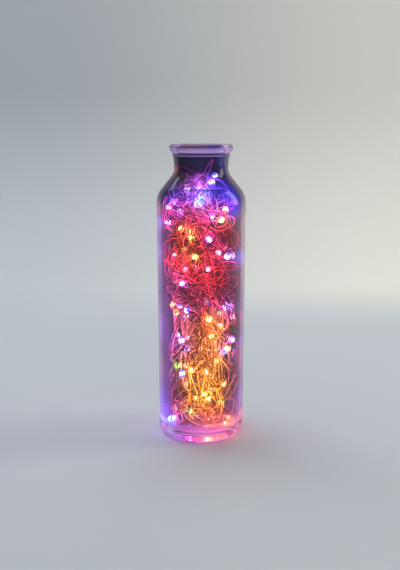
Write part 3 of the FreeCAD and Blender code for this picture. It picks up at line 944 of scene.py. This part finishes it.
for number, (places, bright) in enumerate(outer_bows, 1):
    bow = outer_bow(places)
    strand = tube(f"outer_bow_{number}", bow, strand_diameter / 2 * (1.5 if bright else 1.2), bow_sides)
    dress(strand, bow, bow_sides, 80 + number, bright)
    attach(strand, "bottle")

# Spots of light in the glass: the middle and the reach in millimetres, and the colour
light_patches = (
    ((22, -28, 213), 11, (0.10, 0.07, 1.70)),
    ((27, -26, 203), 8, (0.08, 0.06, 1.30)),
    ((-24, -26, 206), 9, (0.08, 0.06, 0.45)),
    ((31, -22, 161), 6, (0.12, 0.16, 1.00)),
    ((36, -12, 160), 5, (0.10, 0.14, 1.00)),
    ((-22, -8, 233), 4, (0.60, 0.16, 0.03)),
    ((-37, -8, 165), 9, (0.16, 0.12, 0.62)),
    ((-36, -10, 100), 13, (0.22, 0.09, 0.50)),
    ((-35, -14, 33), 12, (0.10, 0.07, 0.85)),
    ((-30, -23, 20), 9, (0.08, 0.10, 0.80)),
    ((34, -17, 34), 11, (0.30, 0.09, 0.55)),
    ((35, -14, 70), 14, (0.26, 0.07, 0.20)),
    ((-36, -12, 62), 12, (0.18, 0.05, 0.12)),
    ((16, -33, 16), 10, (0.70, 0.12, 0.22)),
    ((-4, -37, 12), 12, (0.65, 0.16, 0.40)),
    ((0, 36, 165), 20, (0.40, 0.0, 0.02)),
    ((-27, -27, 8), 4, (0.05, 0.95, 0.75)),
    ((0, -22, 240), 9, (0.03, 0.02, 0.12)),
    ((18, -15, 240), 6, (0.04, 0.05, 0.40)),
)
patch_strength = 0.26
glass_points = np.array([tuple(v.co) for v in bottle.data.vertices])
glass_shine = shine_at(glass_points, 10.0 * mm, 6.0) * 2.9
for place, reach, glow in light_patches:
    far = np.linalg.norm(glass_points / mm - place, axis=1)
    glass_shine += np.exp(-((far / reach) ** 2))[:, None] * np.array(glow) * patch_strength
paint(bottle.data, "shine", glass_shine)
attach(wire, "bottle")
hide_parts("lead_wire", "wire_winding", "neck_wire_loop")

# Finishes of the chips and of the cell holder's pieces
finishes = {
    "led_chips": finish_of("chip_ceramic", (0.85, 0.80, 0.55), (0.95, 0.92, 0.75), 900, 0.35),
    "holder_shell": cork_finish("pressed_cork", (0.36, 0.20, 0.10), (0.68, 0.46, 0.27)),
    "lead_grommet": finish_of("soft_rubber", (0.02, 0.02, 0.02), (0.05, 0.05, 0.05), 700, 0.7),
    "nose_strip": finish_of("nickel_strip", (0.66, 0.62, 0.55), (0.80, 0.77, 0.70), 500, 0.28, 1.0, (1, 8, 1)),
    "battery_tray": finish_of("moulded_plastic", (0.03, 0.03, 0.035), (0.06, 0.06, 0.065), 600, 0.5),
    "tray_cap": cork_finish("pressed_cork_cap", (0.33, 0.18, 0.09), (0.64, 0.42, 0.24)),
    "button_cells": finish_of("cell_steel", (0.62, 0.62, 0.63), (0.80, 0.80, 0.81), 240, 0.25, 1.0, (1, 1, 30)),
    "contact_leaf": finish_of("leaf_brass", (0.70, 0.48, 0.18), (0.85, 0.64, 0.30), 400, 0.3, 1.0),
    "contact_plate": finish_of("plate_nickel", (0.64, 0.61, 0.55), (0.78, 0.75, 0.68), 420, 0.3, 1.0),
    "circuit_board": finish_of("board_green", (0.02, 0.16, 0.07), (0.04, 0.26, 0.12), 350, 0.4),
    "controller_chip": finish_of("chip_epoxy", (0.015, 0.015, 0.018), (0.03, 0.03, 0.035), 500, 0.55),
    "switch_housing": finish_of("switch_steel", (0.55, 0.55, 0.56), (0.72, 0.72, 0.73), 300, 0.35, 1.0, (6, 1, 1)),
    "switch_slider": finish_of("slider_plastic", (0.02, 0.02, 0.02), (0.05, 0.05, 0.05), 800, 0.45),
}
for name, made in finishes.items():
    nodes[name].data.materials.clear()
    nodes[name].data.materials.append(made)

eased_edges = {
    "holder_shell": 0.25, "tray_cap": 0.3, "battery_tray": 0.12, "button_cells": 0.35, "switch_slider": 0.15,
}
for name, width in eased_edges.items():
    edge = nodes[name].modifiers.new("eased_edges", "BEVEL")
    edge.width = width * mm
    edge.segments = 2
    edge.limit_method = "ANGLE"
    edge.angle_limit = math.radians(40)


# Stage: a pale floor that rises into a pale wall

def stage_finish():
    """The table's colour and the backdrop's, which is cooler and darker at the left and warmer and lighter at the
    right, a painted fall of window light.
    """
    made, tree = material("pale_stage")
    shader, _ = principled(tree, Roughness=0.65)
    x, y, _ = axes(tree)
    table = ramp(tree, noise(tree, 3, 2), [(0.3, (0.60, 0.65, 0.70)), (0.7, (0.64, 0.68, 0.72))])
    # Painted light: the backdrop lighter and warmer toward the window at the right
    backdrop = mixed(tree, spread(tree, x, -0.32, 0.36), (0.66, 0.70, 0.74), (0.93, 0.91, 0.84))
    link(tree, mixed(tree, spread(tree, y, 0.30, 0.62), table, backdrop), shader.inputs["Base Color"])
    return made


def sweep_profile():
    """The stage's side view, as places along Y and Z."""
    front, bend_start, bend, top, bend_steps = -1.9, 0.55, 0.35, 3.0, 10
    points = [(front, 0.0), (bend_start, 0.0)]
    for i in range(1, bend_steps + 1):
        a = math.pi / 2 * i / bend_steps
        points.append((bend_start + bend * math.sin(a), bend - bend * math.cos(a)))
    points.append((bend_start + bend, top))
    return points


half_stage = 5.0
floor_mesh = bpy.data.meshes.new("pale_sweep")
floor = placed("pale_sweep", floor_mesh)
rows = sweep_profile()
floor_mesh.from_pydata(
    [(x, y, z) for y, z in rows for x in (-half_stage, half_stage)],
    [],
    [(2 * i, 2 * i + 1, 2 * i + 3, 2 * i + 2) for i in range(len(rows) - 1)],
)
for face in floor_mesh.polygons:
    face.use_smooth = True
floor_mesh.materials.append(stage_finish())


def softbox(name, place, aim, size, power, color):
    light = bpy.data.lights.new(name, "AREA")
    light.shape = "RECTANGLE"
    light.size, light.size_y = size
    light.energy = power
    light.color = color
    made = placed(name, light)
    made.location = place
    made.rotation_euler = (Vector(aim) - Vector(place)).to_track_quat("-Z", "Y").to_euler()


softbox("overhead", (-0.4, 0.75, 1.6), (0, 0, 0.1), (1.6, 1.6), 26.0, (0.96, 0.98, 1.0))
softbox("window", (1.5, 0.2, 0.8), (0, 0, 0.13), (0.5, 1.4), 9.0, (1.0, 0.97, 0.92))

# World: a soft light on the object, and a pale backdrop to look at
world = bpy.data.worlds.new("studio")
world.use_nodes = True
sky = world.node_tree
soft = sky.nodes["Background"]
soft.inputs["Color"].default_value = (0.86, 0.90, 0.95, 1)
soft.inputs["Strength"].default_value = 0.24
pale = sky.nodes.new("ShaderNodeBackground")
pale.inputs["Color"].default_value = (0.62, 0.66, 0.68, 1)
pale.inputs["Strength"].default_value = 1.0
rays = sky.nodes.new("ShaderNodeLightPath")
seen = maths(sky, "MAXIMUM", rays.outputs["Is Camera Ray"], rays.outputs["Is Transmission Ray"])
choice = sky.nodes.new("ShaderNodeMixShader")
link(sky, seen, choice.inputs[0])
link(sky, soft.outputs[0], choice.inputs[1])
link(sky, pale.outputs[0], choice.inputs[2])
link(sky, choice.outputs[0], sky.nodes["World Output"].inputs["Surface"])
bpy.context.scene.world = world

# Camera as in the photograph, tilted down a little
camera_tilt = 12.66
lens = bpy.data.cameras.new("camera")
lens.lens = 42.9
lens.sensor_width = 36
camera = placed("camera", lens)
camera.location = (-0.001, -0.580, 0.2636)
camera.rotation_euler = (math.radians(90 - camera_tilt), 0, 0)
bpy.context.scene.camera = camera
bpy.context.scene.view_settings.view_transform = "Standard"
